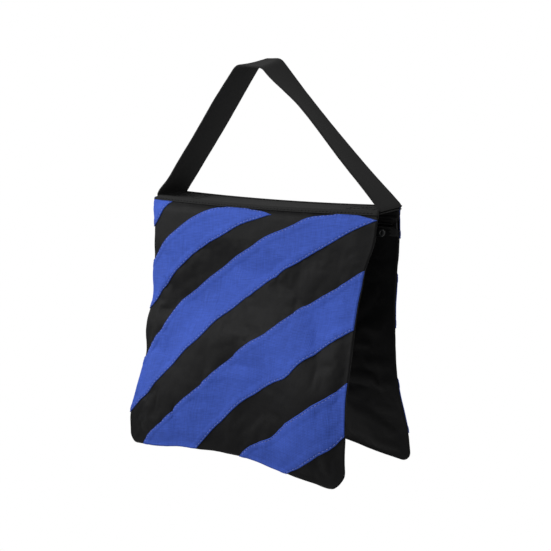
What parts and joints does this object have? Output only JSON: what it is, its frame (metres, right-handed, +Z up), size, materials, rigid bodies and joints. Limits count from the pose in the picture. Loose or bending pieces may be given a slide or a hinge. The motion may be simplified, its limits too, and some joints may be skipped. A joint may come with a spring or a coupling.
{
  "type": "saddle sandbag",
  "caption": "Saddle sandbag for light stands: two flat zipped pouches with curved stripes, joined by a narrow webbing saddle under a webbing handle.",
  "frame": {"origin": "middle of the underside of the handle's flat top, where the bag hangs", "axes": "+X along the ridge, -Y towards the front pouch, +Z up"},
  "size_m": [0.2508, 0.1251, 0.353],
  "materials": {
    "webbing": "ribbed woven polypropylene",
    "black_nylon": "coated oxford nylon, satin",
    "blue_oxford": "woven oxford polyester, soft sheen",
    "liner_cloth": "thin coated nylon",
    "zip_tape": "knitted tape",
    "closure_tape": "hook and loop",
    "zip_teeth": "nylon coil",
    "zip_metal": "black enamelled zinc",
    "thread": "polyester thread"
  },
  "bodies": {
    "handle": {"handle_strap": "webbing"},
    "saddle": {"strap_base": "webbing", "saddle_panel": "black_nylon", "front_ridge_binding": "black_nylon", "back_ridge_binding": "black_nylon", "strap_box_stitches": "thread"},
    "front_pouch": {"front_outer_panel": "black_nylon", "front_stripe_1": "blue_oxford", "front_stripe_2": "blue_oxford", "front_stripe_3": "blue_oxford", "front_stripe_4": "blue_oxford", "front_stripe_5": "blue_oxford", "front_inner_panel_upper": "black_nylon", "front_inner_panel_lower": "black_nylon", "front_zip_tape_upper": "zip_tape", "front_zip_tape_lower": "zip_tape", "front_zip_teeth_upper": "zip_teeth", "front_zip_teeth_lower": "zip_teeth", "front_zip_stops": "zip_metal", "front_liner": "liner_cloth", "front_liner_hook_tape": "closure_tape", "front_liner_loop_tape": "closure_tape"},
    "front_slider": {"front_zip_slider": "zip_metal"},
    "front_pull": {"front_zip_pull": "zip_metal"},
    "back_pouch": {"back_outer_panel": "black_nylon", "back_stripe_1": "blue_oxford", "back_stripe_2": "blue_oxford", "back_stripe_3": "blue_oxford", "back_stripe_4": "blue_oxford", "back_stripe_5": "blue_oxford", "back_inner_panel_upper": "black_nylon", "back_inner_panel_lower": "black_nylon", "back_zip_tape_upper": "zip_tape", "back_zip_tape_lower": "zip_tape", "back_zip_teeth_upper": "zip_teeth", "back_zip_teeth_lower": "zip_teeth", "back_zip_stops": "zip_metal", "back_liner": "liner_cloth", "back_liner_hook_tape": "closure_tape", "back_liner_loop_tape": "closure_tape"},
    "back_slider": {"back_zip_slider": "zip_metal"},
    "back_pull": {"back_zip_pull": "zip_metal"}
  },
  "joints": [
    {"name": "handle_swing", "type": "hinge", "parent": "handle", "child": "saddle", "pos_m": [0.012, 0, -0.122], "axis": [1, 0, 0], "range_deg": [-40, 40]},
    {"name": "front_fold", "type": "hinge", "parent": "saddle", "child": "front_pouch", "pos_m": [0.012, -0.019, -0.122], "axis": [-1, 0, 0], "range_deg": [-18, 76], "stiffness_Nm_per_rad": 0.03, "springref_deg": 34.86},
    {"name": "front_zip", "type": "slide", "parent": "front_pouch", "child": "front_slider", "axis": [-1, 0, 0], "range_m": [0, 0.21484]},
    {"name": "front_pull_flip", "type": "hinge", "parent": "front_slider", "child": "front_pull", "pos_m": [0.11942, -0.01957, -0.13835], "axis": [0, 0.2419, 0.9703], "range_deg": [0, 180]},
    {"name": "back_fold", "type": "hinge", "parent": "saddle", "child": "back_pouch", "pos_m": [0.012, 0.019, -0.122], "axis": [1, 0, 0], "range_deg": [-9, 85], "stiffness_Nm_per_rad": 0.03, "springref_deg": 14.3},
    {"name": "back_zip", "type": "slide", "parent": "back_pouch", "child": "back_slider", "axis": [1, 0, 0], "range_m": [0, 0.21484]},
    {"name": "back_pull_flip", "type": "hinge", "parent": "back_slider", "child": "back_pull", "pos_m": [-0.09542, 0.01701, -0.13823], "axis": [0, -0.0872, 0.9962], "range_deg": [0, 180]}
  ]
}
